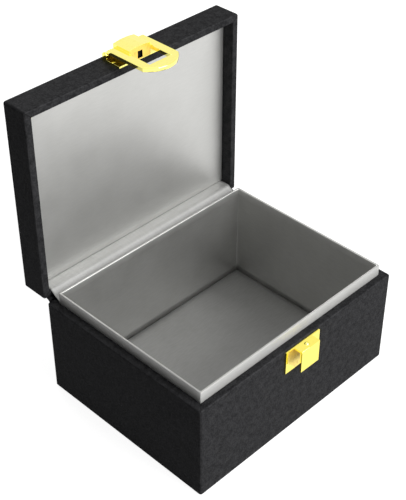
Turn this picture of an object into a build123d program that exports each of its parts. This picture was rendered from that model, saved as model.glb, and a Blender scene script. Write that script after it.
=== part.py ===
from build123d import *
from math import hypot, sqrt
import os

# A small wrapped-board key box with a shielding cloth lining and a snap hasp.
# Millimetres. +Z up, the front faces -Y, +X runs to the right along the front.
# The origin is the middle of the face the box stands on.
# It rests with its lid open. The lid is drawn closed and carried round the hinge by lid_swing.

os.makedirs("parts", exist_ok=True)

# ---------------------------------------------------------------- driving sizes
box_width = 140.0
box_depth = 109.0
base_height = 57.0  # from the ground to the base's rim
lid_height = 15.8
lid_wall = 3.9
rim_gap = 0.25  # between the two rims when the box is shut
lid_opening = 90.0  # degrees, where the cloth strip comes tight

# leatherette, boards and cards
skin = 0.6
corner_round = 1.2
rim_round = 1.0
inner_rim_round = 0.45
floor_board = 2.5
turn_in = 14.0  # leatherette turned down inside the base wall
bottom_margin = 12.0  # leatherette turned under the floor board
bottom_sheet = 0.6
bottom_sheet_inset = 1.5
sheet_fit = 0.3
top_board = 2.5

# cloth-covered inner frame, and the linings
neck_height = 6.2  # above the base's rim
neck_card = 0.7
cloth = 0.25
cloth_tuck = 8.0  # cloth turned down outside the frame, below the rim
floor_card = 1.2
floor_card_fit = 0.3
lining_clearance = 0.3  # neck to lid lining, beyond the rim gap
swing_clearance = 0.18  # neck to lid wall while the lid turns
panel_card = 1.5
panel_fit = 0.2
back_cloth_fit = 0.3

# hinge
pivot_behind = 1.27  # behind the back face
pivot_below = 0.69  # below the base's rim
spine = 0.5
spine_end_margin = 2.0
spine_base_land = 8.0
spine_lid_land = 7.0
spine_drop = 2.5  # from the base's rim to where the spine leaves the wall
strip_end_fit = 0.5
strip_foot = 0.05  # above the rim

# keeper on the base front. Reaches are measured out from the front face, drops down from the rim
keeper_width = 24.6
keeper_drop = 1.15
keeper_length = 13.6
keeper_sheet = 1.0
bridge_width = 13.1
bridge_reach = 5.9
bridge_length = 13.4
bridge_round = 0.35

# spring ball in the keeper's shelf
ball_radius = 1.3
ball_reach = 3.1
ball_travel = 0.65
ball_pressed_proud = 0.1  # what still stands above the shelf when the ball is pressed down
ball_fit = 0.05
sleeve_wall = 0.35
sleeve_length = 6.0
sleeve_floor = 0.5
spring_wire = 0.3
spring_radius = 0.9
spring_coils = 5
spring_fit = 0.08

# lid plate, hasp and pin. Rises are measured up from the base's rim, with the lid shut
plate_width = 24.6
plate_sheet = 1.0
plate_rise = 0.4
plate_length = 12.4
ear_width = 4.4
ear_radius = 1.5
pin_reach = 3.2
pin_rise = 11.2
pin_radius = 0.7
pin_fit = 0.02
pin_run = 0.06  # running clearance in the hasp
pin_head = 0.4
pin_head_radius = 1.1
hasp_width = 23.4
hasp_underside = 4.1
hasp_face = 6.3
hasp_back_rise = 9.6
hasp_shoulder_drop = 15.3
hasp_tip_drop = 21.4
hasp_edge = 0.35
hasp_knuckle_radius = 1.55
knuckle_fit = 0.25
window_width = 13.6
window_drop = 14.9
block_gap = 0.2  # above the lid plate
block_shoulder = 7.6
block_face = 8.2
block_top_width = 4.2
block_back_rise = 10.8
block_drop = 0.9
catch_width = 3.0
catch_low = 1.85
catch_high = 5.6
catch_depth = 1.1

# studs that hold the keeper and the lid plate
stud_radius = 0.8
stud_fit = 0.05
stud_spread = 18.4
stud_head_radius = 1.7
stud_head = 0.7
stud_pocket_fit = 0.15

# ---------------------------------------------------------------- derived places
front = -box_depth / 2
back = box_depth / 2

board_bottom = bottom_sheet + skin
floor_top = board_bottom + floor_board
base_board_top = base_height - skin

pivot_y = back + pivot_behind
pivot_z = base_height - pivot_below
lid_rim = base_height + rim_gap
lid_top = lid_rim + lid_height

# the frame's top front edge clears the lid's front rim as the lid turns
neck_top = base_height + neck_height
lid_front_reach = hypot(pivot_y - front - lid_wall, lid_rim - pivot_z)
neck_reach = sqrt((lid_front_reach - swing_clearance) ** 2 - (neck_top - pivot_z) ** 2)
base_wall = pivot_y - front - neck_reach
neck_wall = neck_card + 2 * cloth
neck_inner = base_wall + neck_wall
base_board = base_wall - 2 * skin
floor_card_top = floor_top + floor_card

lid_board = lid_wall - 2 * skin
lid_board_bottom = lid_rim + skin
lid_board_top = lid_top - skin
lid_ceiling = lid_board_top - top_board
lining_face = lid_rim + neck_height + lining_clearance
panel_bottom = lining_face + cloth
panel_top = panel_bottom + panel_card

stud_middle_keeper = -keeper_drop - keeper_length / 2
stud_middle_plate = plate_rise + plate_length / 2
sleeve_radius = ball_radius + ball_fit + sleeve_wall
ball_proud = ball_travel + ball_pressed_proud
ball_drop = keeper_drop - ball_proud + ball_radius

lid_swing = Pos(0, pivot_y, pivot_z) * Rot(-lid_opening, 0, 0) * Pos(0, -pivot_y, -pivot_z)


def on_lid(plane):
    """The plane of the shut lid, carried round the hinge to where the lid rests open."""
    return Plane(lid_swing * plane.location)


def front_plane(reach):
    """A plane parallel to the front face, reach outside it: x to the right, y up from the base's rim."""
    return Plane(origin=(0, front - reach, base_height), x_dir=(1, 0, 0), z_dir=(0, -1, 0))


def inset_rectangle(inset, mode=Mode.ADD):
    """The box's outline, brought in by inset on every side."""
    return Rectangle(box_width - 2 * inset, box_depth - 2 * inset, mode=mode)


def wall_ring(plane, outer_inset, inner_inset, height):
    """A rectangular wall between two insets, standing height tall on the plane."""
    with BuildSketch(plane) as wall:
        inset_rectangle(outer_inset)
        inset_rectangle(inner_inset, Mode.SUBTRACT)
    extrude(wall.sketch, amount=height)


def stud_rounds(plane, middle, radius, length, mode=Mode.ADD):
    """A pair of round bars or holes side by side at the studs' places, length along the plane's normal."""
    with BuildSketch(plane) as rounds:
        with Locations((0, middle)):
            with GridLocations(stud_spread, 0, 2, 1):
                Circle(radius)
    extrude(rounds.sketch, amount=length, mode=mode)


def stud_pockets(plane, middle, board):
    """Stud holes through a front board with a pocket for each head, drawn on the board's inner face."""
    stud_rounds(plane, middle, stud_radius + stud_fit, board, Mode.SUBTRACT)
    pocket_radius = stud_head_radius + stud_pocket_fit
    stud_rounds(plane, middle, pocket_radius, stud_head + stud_pocket_fit, Mode.SUBTRACT)


def stud_pair(outer_plane, inner_plane, middle, board):
    """Two shanks inwards from the front face, each with a head on the floor of its pocket."""
    shank = skin + board - stud_head - stud_pocket_fit
    stud_rounds(outer_plane, middle, stud_radius, -shank)
    stud_rounds(inner_plane, middle, stud_head_radius, stud_head)


# ---------------------------------------------------------------- base boards and bottom
with BuildPart() as base_bottom_cover:
    with BuildSketch(Plane.XY):
        inset_rectangle(bottom_sheet_inset)
    extrude(amount=bottom_sheet)
    with BuildSketch(Plane.XY.offset(bottom_sheet)):
        inset_rectangle(bottom_margin + sheet_fit)
    extrude(amount=skin)
    fillet(base_bottom_cover.edges().filter_by(Axis.Z).group_by(Axis.Z)[0], radius=corner_round)
base_bottom_cover.part.label = "base_bottom_cover"
export_step(base_bottom_cover.part, "parts/base_bottom_cover.step")

with BuildPart() as base_floor_board:
    with BuildSketch(Plane.XY.offset(board_bottom)):
        inset_rectangle(skin)
    extrude(amount=floor_board)
base_floor_board.part.label = "base_floor_board"
export_step(base_floor_board.part, "parts/base_floor_board.step")

front_board_y = front + skin + base_board / 2
with BuildPart() as base_front_board:
    with BuildSketch(Plane.XY.offset(floor_top)):
        with Locations((0, front_board_y)):
            Rectangle(box_width - 2 * skin, base_board)
    extrude(amount=base_board_top - floor_top)
    stud_pockets(front_plane(-skin - base_board), stud_middle_keeper, base_board)
base_front_board.part.label = "base_front_board"
export_step(base_front_board.part, "parts/base_front_board.step")

with BuildPart() as base_back_board:
    with BuildSketch(Plane.XY.offset(floor_top)):
        with Locations((0, -front_board_y)):
            Rectangle(box_width - 2 * skin, base_board)
    extrude(amount=base_board_top - floor_top)
base_back_board.part.label = "base_back_board"
export_step(base_back_board.part, "parts/base_back_board.step")

for side, name in ((-1, "left"), (1, "right")):
    with BuildPart() as base_side_board:
        with BuildSketch(Plane.XY.offset(floor_top)):
            with Locations((side * (box_width / 2 - skin - base_board / 2), 0)):
                Rectangle(base_board, box_depth - 2 * (skin + base_board))
        extrude(amount=base_board_top - floor_top)
    base_side_board.part.label = f"base_{name}_board"
    export_step(base_side_board.part, f"parts/base_{name}_board.step")

# ---------------------------------------------------------------- base leatherette
with BuildPart() as base_wrap:
    wall_ring(Plane.XY.offset(bottom_sheet), 0, skin, base_height - bottom_sheet)
    wall_ring(Plane.XY.offset(bottom_sheet), 0, bottom_margin, skin)
    wall_ring(Plane.XY.offset(base_board_top), 0, base_wall, skin)
    wall_ring(Plane.XY.offset(base_height - turn_in), base_wall - skin, base_wall, turn_in)
    fillet(base_wrap.edges().filter_by(Axis.Z).group_by(SortBy.LENGTH)[-1], radius=corner_round)
    rim_edges = base_wrap.faces().filter_by(Axis.Z).sort_by(Axis.Z)[-1]
    fillet(rim_edges.outer_wire().edges(), radius=rim_round)
    rim_face = base_wrap.faces().filter_by(Axis.Z).sort_by(Axis.Z)[-1]
    fillet(rim_face.inner_wires()[0].edges(), radius=inner_rim_round)
    stud_rounds(front_plane(0), stud_middle_keeper, stud_radius + stud_fit, -skin, Mode.SUBTRACT)
base_wrap.part.label = "base_wrap"
export_step(base_wrap.part, "parts/base_wrap.step")

# ---------------------------------------------------------------- inner frame and its cloth
neck_card_inset = base_wall + cloth
neck_card_height = neck_top - cloth - floor_top
for side, name in ((-1, "front"), (1, "back")):
    with BuildPart() as neck_long_card:
        with BuildSketch(Plane.XY.offset(floor_top)):
            with Locations((0, side * (box_depth / 2 - neck_card_inset - neck_card / 2))):
                Rectangle(box_width - 2 * neck_card_inset, neck_card)
        extrude(amount=neck_card_height)
    neck_long_card.part.label = f"neck_{name}_card"
    export_step(neck_long_card.part, f"parts/neck_{name}_card.step")

for side, name in ((-1, "left"), (1, "right")):
    with BuildPart() as neck_short_card:
        with BuildSketch(Plane.XY.offset(floor_top)):
            with Locations((side * (box_width / 2 - neck_card_inset - neck_card / 2), 0)):
                Rectangle(neck_card, box_depth - 2 * (neck_card_inset + neck_card))
        extrude(amount=neck_card_height)
    neck_short_card.part.label = f"neck_{name}_card"
    export_step(neck_short_card.part, f"parts/neck_{name}_card.step")

with BuildPart() as base_floor_card:
    with BuildSketch(Plane.XY.offset(floor_top)):
        inset_rectangle(neck_card_inset + neck_card + floor_card_fit)
    extrude(amount=floor_card)
base_floor_card.part.label = "base_floor_card"
export_step(base_floor_card.part, "parts/base_floor_card.step")

with BuildPart() as base_shield_liner:
    wall_ring(Plane.XY.offset(base_height - cloth_tuck), base_wall, neck_card_inset, cloth_tuck + neck_height)
    wall_ring(Plane.XY.offset(neck_top - cloth), base_wall, neck_inner, cloth)
    wall_ring(Plane.XY.offset(floor_card_top), neck_inner - cloth, neck_inner, neck_top - floor_card_top)
    with BuildSketch(Plane.XY.offset(floor_card_top)):
        inset_rectangle(neck_inner - cloth)
    extrude(amount=cloth)
base_shield_liner.part.label = "base_shield_liner"
export_step(base_shield_liner.part, "parts/base_shield_liner.step")

# ---------------------------------------------------------------- lid boards
with BuildPart() as lid_top_board:
    with BuildSketch(on_lid(Plane.XY.offset(lid_ceiling))):
        inset_rectangle(skin)
    extrude(amount=top_board)
lid_top_board.part.label = "lid_top_board"
export_step(lid_top_board.part, "parts/lid_top_board.step")

lid_board_y = front + skin + lid_board / 2
with BuildPart() as lid_front_board:
    with BuildSketch(on_lid(Plane.XY.offset(lid_board_bottom))):
        with Locations((0, lid_board_y)):
            Rectangle(box_width - 2 * skin, lid_board)
    extrude(amount=lid_ceiling - lid_board_bottom)
    stud_pockets(on_lid(front_plane(-skin - lid_board)), stud_middle_plate, lid_board)
lid_front_board.part.label = "lid_front_board"
export_step(lid_front_board.part, "parts/lid_front_board.step")

with BuildPart() as lid_back_board:
    with BuildSketch(on_lid(Plane.XY.offset(lid_board_bottom))):
        with Locations((0, -lid_board_y)):
            Rectangle(box_width - 2 * skin, lid_board)
    extrude(amount=lid_ceiling - lid_board_bottom)
lid_back_board.part.label = "lid_back_board"
export_step(lid_back_board.part, "parts/lid_back_board.step")

for side, name in ((-1, "left"), (1, "right")):
    with BuildPart() as lid_side_board:
        with BuildSketch(on_lid(Plane.XY.offset(lid_board_bottom))):
            with Locations((side * (box_width / 2 - skin - lid_board / 2), 0)):
                Rectangle(lid_board, box_depth - 2 * (skin + lid_board))
        extrude(amount=lid_ceiling - lid_board_bottom)
    lid_side_board.part.label = f"lid_{name}_board"
    export_step(lid_side_board.part, f"parts/lid_{name}_board.step")

# ---------------------------------------------------------------- lid leatherette
lid_out = on_lid(Plane.XY).z_dir  # the way the lid's top faces where it rests
lid_out_axis = Axis((0, 0, 0), lid_out)
with BuildPart() as lid_wrap:
    wall_ring(on_lid(Plane.XY.offset(lid_rim)), 0, skin, lid_height)
    wall_ring(on_lid(Plane.XY.offset(lid_rim)), 0, lid_wall, skin)
    wall_ring(on_lid(Plane.XY.offset(lid_rim)), lid_wall - skin, lid_wall, lid_ceiling - lid_rim)
    with BuildSketch(on_lid(Plane.XY.offset(lid_board_top))):
        inset_rectangle(0)
    extrude(amount=skin)
    fillet(lid_wrap.edges().filter_by(lid_out_axis).group_by(SortBy.LENGTH)[-1], radius=corner_round)
    lid_top_face = lid_wrap.faces().filter_by(lid_out_axis).sort_by(lid_out_axis)[-1]
    fillet(lid_top_face.edges(), radius=rim_round)
    lid_rim_face = lid_wrap.faces().filter_by(lid_out_axis).sort_by(lid_out_axis)[0]
    fillet(lid_rim_face.outer_wire().edges(), radius=rim_round)
    lid_rim_face = lid_wrap.faces().filter_by(lid_out_axis).sort_by(lid_out_axis)[0]
    fillet(lid_rim_face.inner_wires()[0].edges(), radius=inner_rim_round)
    stud_rounds(on_lid(front_plane(0)), stud_middle_plate, stud_radius + stud_fit, -skin, Mode.SUBTRACT)
lid_wrap.part.label = "lid_wrap"
export_step(lid_wrap.part, "parts/lid_wrap.step")

# ---------------------------------------------------------------- lid lining
panel_inset = lid_wall + panel_fit
with BuildPart() as lid_foam_pad:
    with BuildSketch(on_lid(Plane.XY.offset(panel_top))):
        inset_rectangle(panel_inset + cloth)
    extrude(amount=lid_ceiling - panel_top)
lid_foam_pad.part.label = "lid_foam_pad"
export_step(lid_foam_pad.part, "parts/lid_foam_pad.step")

with BuildPart() as lid_panel_card:
    with BuildSketch(on_lid(Plane.XY.offset(panel_bottom))):
        inset_rectangle(panel_inset + cloth)
    extrude(amount=panel_card)
lid_panel_card.part.label = "lid_panel_card"
export_step(lid_panel_card.part, "parts/lid_panel_card.step")

# cloth over the panel, and down the inside of the lid's back wall to the rim
back_cloth_width = box_width - 2 * (lid_wall + back_cloth_fit)
with BuildPart() as lid_shield_liner:
    with BuildSketch(on_lid(Plane.XY.offset(lining_face))):
        inset_rectangle(panel_inset)
    extrude(amount=cloth)
    wall_ring(on_lid(Plane.XY.offset(panel_bottom)), panel_inset, panel_inset + cloth, panel_card)
    with BuildSketch(on_lid(Plane.XY.offset(lid_rim + inner_rim_round))):
        with Locations((0, back - lid_wall - cloth / 2)):
            Rectangle(back_cloth_width, cloth)
    extrude(amount=panel_bottom - lid_rim - inner_rim_round)
lid_shield_liner.part.label = "lid_shield_liner"
export_step(lid_shield_liner.part, "parts/lid_shield_liner.step")

# ---------------------------------------------------------------- hinge: spine outside, cloth strip inside
# drawn in the side view at rest, with the lid standing up behind the base
open_rim_y = pivot_y + lid_rim - pivot_z
lid_underside = pivot_z + pivot_behind
lid_inner_floor = lid_underside + lid_wall
spine_bend_z = base_height - spine_drop
spine_radius = lid_underside - spine_bend_z
spine_lid_start = back + spine_radius
spine_length = box_width - 2 * spine_end_margin
with BuildPart() as hinge_spine:
    with BuildSketch(Plane.YZ):
        with BuildLine():
            base_land = Line((back, spine_bend_z - spine_base_land), (back, spine_bend_z))
            bend = RadiusArc(base_land @ 1, (spine_lid_start, lid_underside), spine_radius)
            Line(bend @ 1, (spine_lid_start + spine_lid_land, lid_underside))
            offset(amount=spine, side=Side.RIGHT)
        make_face()
    extrude(amount=spine_length / 2, both=True)
hinge_spine.part.label = "hinge_spine"
export_step(hinge_spine.part, "parts/hinge_spine.step")

strip_length = box_width - 2 * (base_wall + strip_end_fit)
strip_top_y = open_rim_y + inner_rim_round
strip_foot_y = back - base_wall
strip_foot_z = base_height + strip_foot
with BuildPart() as hinge_shield_strip:
    with BuildSketch(Plane.YZ):
        with BuildLine():
            Polyline(
                (strip_foot_y, strip_foot_z),
                (open_rim_y, lid_inner_floor),
                (strip_top_y, lid_inner_floor),
                (strip_top_y, lid_inner_floor + cloth),
                (open_rim_y, lid_inner_floor + cloth),
                (strip_foot_y, strip_foot_z + cloth),
                close=True,
            )
        make_face()
    extrude(amount=strip_length / 2, both=True)
hinge_shield_strip.part.label = "hinge_shield_strip"
export_step(hinge_shield_strip.part, "parts/hinge_shield_strip.step")

# ---------------------------------------------------------------- keeper and its spring ball
ball_centre = (0, front - ball_reach, base_height - ball_drop)
shelf_underside = base_height - keeper_drop - keeper_sheet
with BuildPart() as keeper:
    with BuildSketch(front_plane(0)):
        with Locations((0, stud_middle_keeper)):
            Rectangle(keeper_width, keeper_length)
    extrude(amount=keeper_sheet)
    with BuildSketch(Plane.XY.offset(shelf_underside)):
        with Locations((0, front - bridge_reach / 2)):
            Rectangle(bridge_width, bridge_reach)
    extrude(amount=keeper_sheet)
    with BuildSketch(front_plane(bridge_reach)):
        with Locations((0, -keeper_drop - bridge_length / 2)):
            Rectangle(bridge_width, bridge_length)
    extrude(amount=-keeper_sheet)
    front_edges = keeper.edges().filter_by(Axis.X).group_by(Axis.Y)[0]
    fillet(front_edges, radius=bridge_round)
    with BuildSketch(Plane.XY.offset(ball_centre[2])):
        with Locations(ball_centre[:2]):
            Circle(ball_radius + ball_fit)
    extrude(amount=shelf_underside - ball_centre[2], mode=Mode.SUBTRACT)
    with Locations(ball_centre):
        Sphere(ball_radius + ball_fit, mode=Mode.SUBTRACT)
keeper.part.label = "keeper"
export_step(keeper.part, "parts/keeper.step")

with BuildPart() as keeper_studs:
    keeper_stud_ends = front_plane(stud_pocket_fit - skin - base_board)
    stud_pair(front_plane(0), keeper_stud_ends, stud_middle_keeper, base_board)
keeper_studs.part.label = "keeper_studs"
export_step(keeper_studs.part, "parts/keeper_studs.step")

with BuildPart() as detent_sleeve:
    with BuildSketch(Plane.XY.offset(shelf_underside)):
        with Locations(ball_centre[:2]):
            Circle(sleeve_radius)
    extrude(amount=-sleeve_length)
    with BuildSketch(Plane.XY.offset(shelf_underside)):
        with Locations(ball_centre[:2]):
            Circle(sleeve_radius - sleeve_wall)
    extrude(amount=sleeve_floor - sleeve_length, mode=Mode.SUBTRACT)
detent_sleeve.part.label = "detent_sleeve"
export_step(detent_sleeve.part, "parts/detent_sleeve.step")

# the top coil's wire bears on the ball from below
spring_bottom = shelf_underside - sleeve_length + sleeve_floor + spring_wire / 2 + spring_fit
coil_drop = sqrt((ball_radius + spring_wire / 2 + spring_fit) ** 2 - spring_radius**2)
spring_height = ball_centre[2] - coil_drop - spring_bottom
with BuildPart() as detent_spring:
    with BuildLine():
        coil = Helix(
            pitch=spring_height / spring_coils,
            height=spring_height,
            radius=spring_radius,
            center=(ball_centre[0], ball_centre[1], spring_bottom),
        )
    with BuildSketch(Plane(coil @ 0, z_dir=coil % 0)):
        Circle(spring_wire / 2)
    sweep(path=coil, is_frenet=True)
detent_spring.part.label = "detent_spring"
export_step(detent_spring.part, "parts/detent_spring.step")

with BuildPart() as detent_ball:
    with Locations(ball_centre):
        Sphere(ball_radius)
detent_ball.part.label = "detent_ball"
export_step(detent_ball.part, "parts/detent_ball.step")

# ---------------------------------------------------------------- lid plate, pin and hasp
pin_y = front - pin_reach
pin_z = base_height + pin_rise
ear_middle = plate_width / 2 - ear_width / 2
with BuildPart() as lid_plate:
    with BuildSketch(on_lid(front_plane(0))):
        with Locations((0, stud_middle_plate)):
            Rectangle(plate_width, plate_length)
    extrude(amount=plate_sheet)
    for side in (-1, 1):
        with BuildSketch(on_lid(Plane.YZ.offset(side * ear_middle))):
            with Locations((pin_y, pin_z)):
                Circle(ear_radius)
            with Locations((front - pin_reach / 2, pin_z)):
                Rectangle(pin_reach, 2 * ear_radius)
            with Locations((pin_y, pin_z)):
                Circle(pin_radius + pin_fit, mode=Mode.SUBTRACT)
        extrude(amount=ear_width / 2, both=True)
lid_plate.part.label = "lid_plate"
export_step(lid_plate.part, "parts/lid_plate.step")

with BuildPart() as lid_plate_studs:
    plate_stud_ends = on_lid(front_plane(stud_pocket_fit - skin - lid_board))
    stud_pair(on_lid(front_plane(0)), plate_stud_ends, stud_middle_plate, lid_board)
lid_plate_studs.part.label = "lid_plate_studs"
export_step(lid_plate_studs.part, "parts/lid_plate_studs.step")

with BuildPart() as hasp_pin:
    with BuildSketch(on_lid(Plane.YZ)):
        with Locations((pin_y, pin_z)):
            Circle(pin_radius)
    extrude(amount=plate_width / 2, both=True)
    for side in (-1, 1):
        with BuildSketch(on_lid(Plane.YZ.offset(side * (plate_width / 2 + pin_head / 2)))):
            with Locations((pin_y, pin_z)):
                Circle(pin_head_radius)
        extrude(amount=pin_head / 2, both=True)
hasp_pin.part.label = "hasp_pin"
export_step(hasp_pin.part, "parts/hasp_pin.step")

block_width = window_width
knuckle_width = plate_width - 2 * (ear_width + knuckle_fit)
with BuildPart() as hasp:
    # D-shaped frame
    with BuildSketch(on_lid(front_plane(hasp_underside))):
        with BuildLine():
            Polyline(
                (-hasp_width / 2, -hasp_shoulder_drop),
                (-hasp_width / 2, hasp_back_rise),
                (hasp_width / 2, hasp_back_rise),
                (hasp_width / 2, -hasp_shoulder_drop),
            )
            ThreePointArc(
                (hasp_width / 2, -hasp_shoulder_drop),
                (0, -hasp_tip_drop),
                (-hasp_width / 2, -hasp_shoulder_drop),
            )
        make_face()
        with Locations((0, -(window_drop + block_drop) / 2)):
            Rectangle(window_width, window_drop - block_drop, mode=Mode.SUBTRACT)
    extrude(amount=hasp_face - hasp_underside)
    hasp_out_axis = Axis((0, 0, 0), on_lid(front_plane(0)).z_dir)
    outer_face = hasp.faces().filter_by(hasp_out_axis).sort_by(hasp_out_axis)[-1]
    chamfer(outer_face.edges(), length=hasp_edge)
    # bevelled block over the pin
    with BuildSketch(on_lid(Plane.XY.offset(base_height - block_drop))):
        with BuildLine():
            Polyline(
                (-block_width / 2, front - plate_sheet - block_gap),
                (block_width / 2, front - plate_sheet - block_gap),
                (block_width / 2, front - block_shoulder),
                (block_top_width / 2, front - block_face),
                (-block_top_width / 2, front - block_face),
                (-block_width / 2, front - block_shoulder),
                close=True,
            )
        make_face()
    extrude(amount=block_back_rise + block_drop)
    # knuckle and its bore
    with BuildSketch(on_lid(Plane.YZ)):
        with Locations((pin_y, pin_z)):
            Circle(hasp_knuckle_radius)
    extrude(amount=knuckle_width / 2, both=True)
    with BuildSketch(on_lid(Plane.YZ)):
        with Locations((pin_y, pin_z)):
            Circle(pin_radius + pin_run)
    extrude(amount=hasp_width, both=True, mode=Mode.SUBTRACT)
    # catch for the ball in the block's lower end
    with BuildSketch(on_lid(front_plane(catch_low))):
        with Locations((0, -block_drop + catch_depth / 2)):
            Rectangle(catch_width, catch_depth)
    extrude(amount=catch_high - catch_low, mode=Mode.SUBTRACT)
hasp.part.label = "hasp"
export_step(hasp.part, "parts/hasp.step")
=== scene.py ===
"""Looks of a small shielded key box with a snap hasp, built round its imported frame.

All places are in metres, in the frame's own axes: +Z up, the front faces -Y, and the lid
stands open behind the base.
"""

import logging
import math
from dataclasses import dataclass, field
from enum import Enum

import bmesh
import bpy
from mathutils import Matrix, Vector, noise

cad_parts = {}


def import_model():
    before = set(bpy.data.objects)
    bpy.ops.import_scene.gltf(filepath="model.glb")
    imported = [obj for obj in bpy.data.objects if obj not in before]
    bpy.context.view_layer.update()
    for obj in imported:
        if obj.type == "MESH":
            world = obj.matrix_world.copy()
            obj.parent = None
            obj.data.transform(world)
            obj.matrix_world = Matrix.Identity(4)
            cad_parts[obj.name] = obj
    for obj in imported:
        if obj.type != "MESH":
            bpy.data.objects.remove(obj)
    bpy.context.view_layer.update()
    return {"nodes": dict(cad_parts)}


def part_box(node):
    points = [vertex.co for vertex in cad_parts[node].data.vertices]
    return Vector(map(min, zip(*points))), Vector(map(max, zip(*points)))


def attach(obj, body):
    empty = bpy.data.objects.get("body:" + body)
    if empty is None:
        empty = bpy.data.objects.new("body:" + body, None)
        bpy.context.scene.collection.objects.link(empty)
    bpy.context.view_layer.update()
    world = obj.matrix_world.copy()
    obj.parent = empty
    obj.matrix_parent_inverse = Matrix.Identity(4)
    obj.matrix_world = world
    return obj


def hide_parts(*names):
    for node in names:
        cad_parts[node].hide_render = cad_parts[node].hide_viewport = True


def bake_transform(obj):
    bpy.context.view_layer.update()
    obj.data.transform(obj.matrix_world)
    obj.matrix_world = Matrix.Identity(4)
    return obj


LOG = logging.getLogger("key_box")
MM = 0.001
UV_NAME = "laid_out"
Colour = tuple[float, float, float]
Place = tuple[float, float, float]


class Body(Enum):
    """The bodies that pieces ride on."""

    BASE = "base"
    LID = "lid"
    BALL = "ball"


class Slot(Enum):
    """The record's material slot names; no piece here takes one."""

    LEATHERETTE = "leatherette"
    CLOTH = "shield_cloth"
    FOAM = "foam"
    STEEL = "steel"


class Hold(Enum):
    """How a sheet of cloth is held."""

    STRETCHED = "stretched"
    LAID = "laid"


class RimSide(Enum):
    """The axis and end of a wrapped shell where its open rim lies."""

    TOP = (2, 1.0)
    FRONT = (1, -1.0)


# -------------------- shader expressions
class Signal:
    """A number that varies over a surface. Python operators on it add Math nodes."""

    def __init__(self, sheet: "ShaderSheet", socket: bpy.types.NodeSocket) -> None:
        """Wraps one socket.

        Args:
            sheet: The node sheet that the socket is on.
            socket: The output socket that carries the number.
        """
        self.sheet = sheet
        self.socket = socket

    def _math(self, operation: str, *terms: object) -> "Signal":
        """Adds a Math node.

        Args:
            operation: The Math node's operation.
            *terms: Its inputs in order, as signals or numbers.

        Returns:
            The node's result.
        """
        made = self.sheet.node("ShaderNodeMath", {"operation": operation}, dict(enumerate(terms)))
        return Signal(self.sheet, made.outputs[0])

    def __add__(self, other: object) -> "Signal":
        """Sum."""
        return self._math("ADD", self, other)

    def __radd__(self, other: float) -> "Signal":
        """Sum, reflected."""
        return self._math("ADD", other, self)

    def __sub__(self, other: object) -> "Signal":
        """Difference."""
        return self._math("SUBTRACT", self, other)

    def __rsub__(self, other: float) -> "Signal":
        """Difference, reflected."""
        return self._math("SUBTRACT", other, self)

    def __mul__(self, other: object) -> "Signal":
        """Product."""
        return self._math("MULTIPLY", self, other)

    def __rmul__(self, other: float) -> "Signal":
        """Product, reflected."""
        return self._math("MULTIPLY", other, self)

    def __abs__(self) -> "Signal":
        """Size without its sign."""
        return self._math("ABSOLUTE", self)

    def sine(self) -> "Signal":
        """Sine of the number."""
        return self._math("SINE", self)

    def larger(self, other: object) -> "Signal":
        """The larger of two numbers."""
        return self._math("MAXIMUM", self, other)

    def rise(self, low: float, high: float) -> "Signal":
        """A smooth step.

        Args:
            low: Where the step leaves 0.
            high: Where the step reaches 1.

        Returns:
            0 below low, 1 above high and smooth in between.
        """
        made = self.sheet.node(
            "ShaderNodeMapRange",
            {"interpolation_type": "SMOOTHSTEP"},
            {"Value": self, "From Min": low, "From Max": high},
        )
        return Signal(self.sheet, made.outputs[0])


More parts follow.
